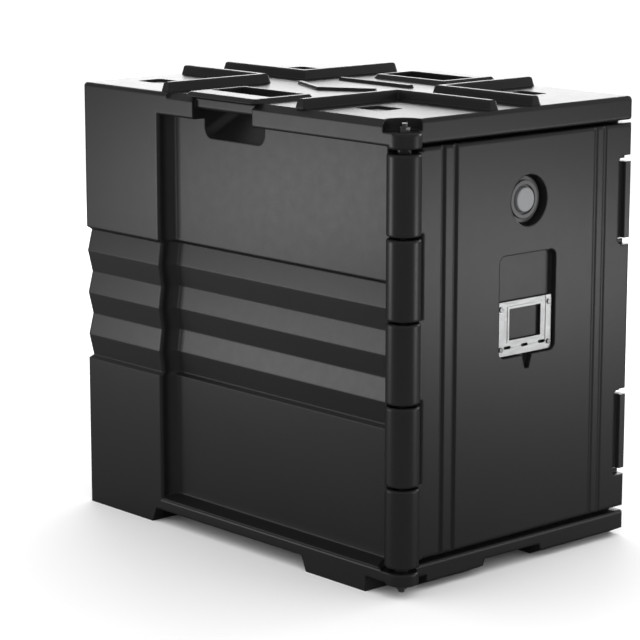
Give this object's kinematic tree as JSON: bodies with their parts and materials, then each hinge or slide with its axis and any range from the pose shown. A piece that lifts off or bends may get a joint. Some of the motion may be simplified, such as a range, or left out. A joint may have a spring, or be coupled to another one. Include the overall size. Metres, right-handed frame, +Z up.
{
  "type": "insulated food carrier",
  "caption": "Front-loading insulated food carrier with a side-hinged door, side latches, steam vent, label frame, hand grips and stacking ridges.",
  "frame": {"origin": "centre of the overall box on the floor that the feet stand on", "axes": "+Z up, the door faces -Y, the door's hinge is on the -X side"},
  "size_m": [0.462, 0.6675, 0.635],
  "materials": {
    "shell": "rotomoulded black polyethylene, fine orange-peel, soft sheen",
    "foam": "rigid polyurethane foam",
    "seal": "soft silicone, matt",
    "stainless": "bright stainless",
    "nylon": "moulded black nylon, satin",
    "vent_plastic": "moulded dark grey plastic",
    "button_grey": "moulded mid grey plastic",
    "label_steel": "bright pressed stainless sheet"
  },
  "bodies": {
    "carrier_body": {"body_shell": "shell", "body_foam": "foam", "body_foam_plug": "shell", "hinge_rod": "stainless", "hinge_nuts": "stainless", "hinge_spacers": "nylon", "latch_base_upper": "nylon", "latch_base_lower": "nylon", "latch_pin_upper": "stainless", "latch_pin_lower": "stainless", "latch_screws": "stainless"},
    "door": {"door_shell": "shell", "door_foam": "foam", "door_foam_plug": "shell", "door_gasket": "seal", "vent_body": "vent_plastic", "vent_ring": "vent_plastic", "vent_nut": "vent_plastic", "vent_spring": "stainless", "label_frame": "label_steel", "label_rivets": "stainless"},
    "vent_plunger": {"vent_button": "button_grey", "vent_seal": "seal", "vent_disc": "vent_plastic"},
    "latch_upper": {"latch_lever_upper": "nylon"},
    "latch_lower": {"latch_lever_lower": "nylon"}
  },
  "joints": [
    {"name": "door_hinge", "type": "hinge", "parent": "carrier_body", "child": "door", "pos_m": [-0.2025, -0.31125, 0.31], "axis": [0, 0, -1], "range_deg": [0, 250]},
    {"name": "latch_upper_pivot", "type": "hinge", "parent": "carrier_body", "child": "latch_upper", "pos_m": [0.216, -0.24125, 0.4795], "axis": [0, 0, 1], "range_deg": [0, 100]},
    {"name": "latch_lower_pivot", "type": "hinge", "parent": "carrier_body", "child": "latch_lower", "pos_m": [0.216, -0.24125, 0.152], "axis": [0, 0, 1], "range_deg": [0, 100]},
    {"name": "vent_push", "type": "slide", "parent": "door", "child": "vent_plunger", "axis": [0, 1, 0], "range_m": [0, 0.003], "stiffness_N_per_m": 600, "springref_m": -0.002}
  ]
}
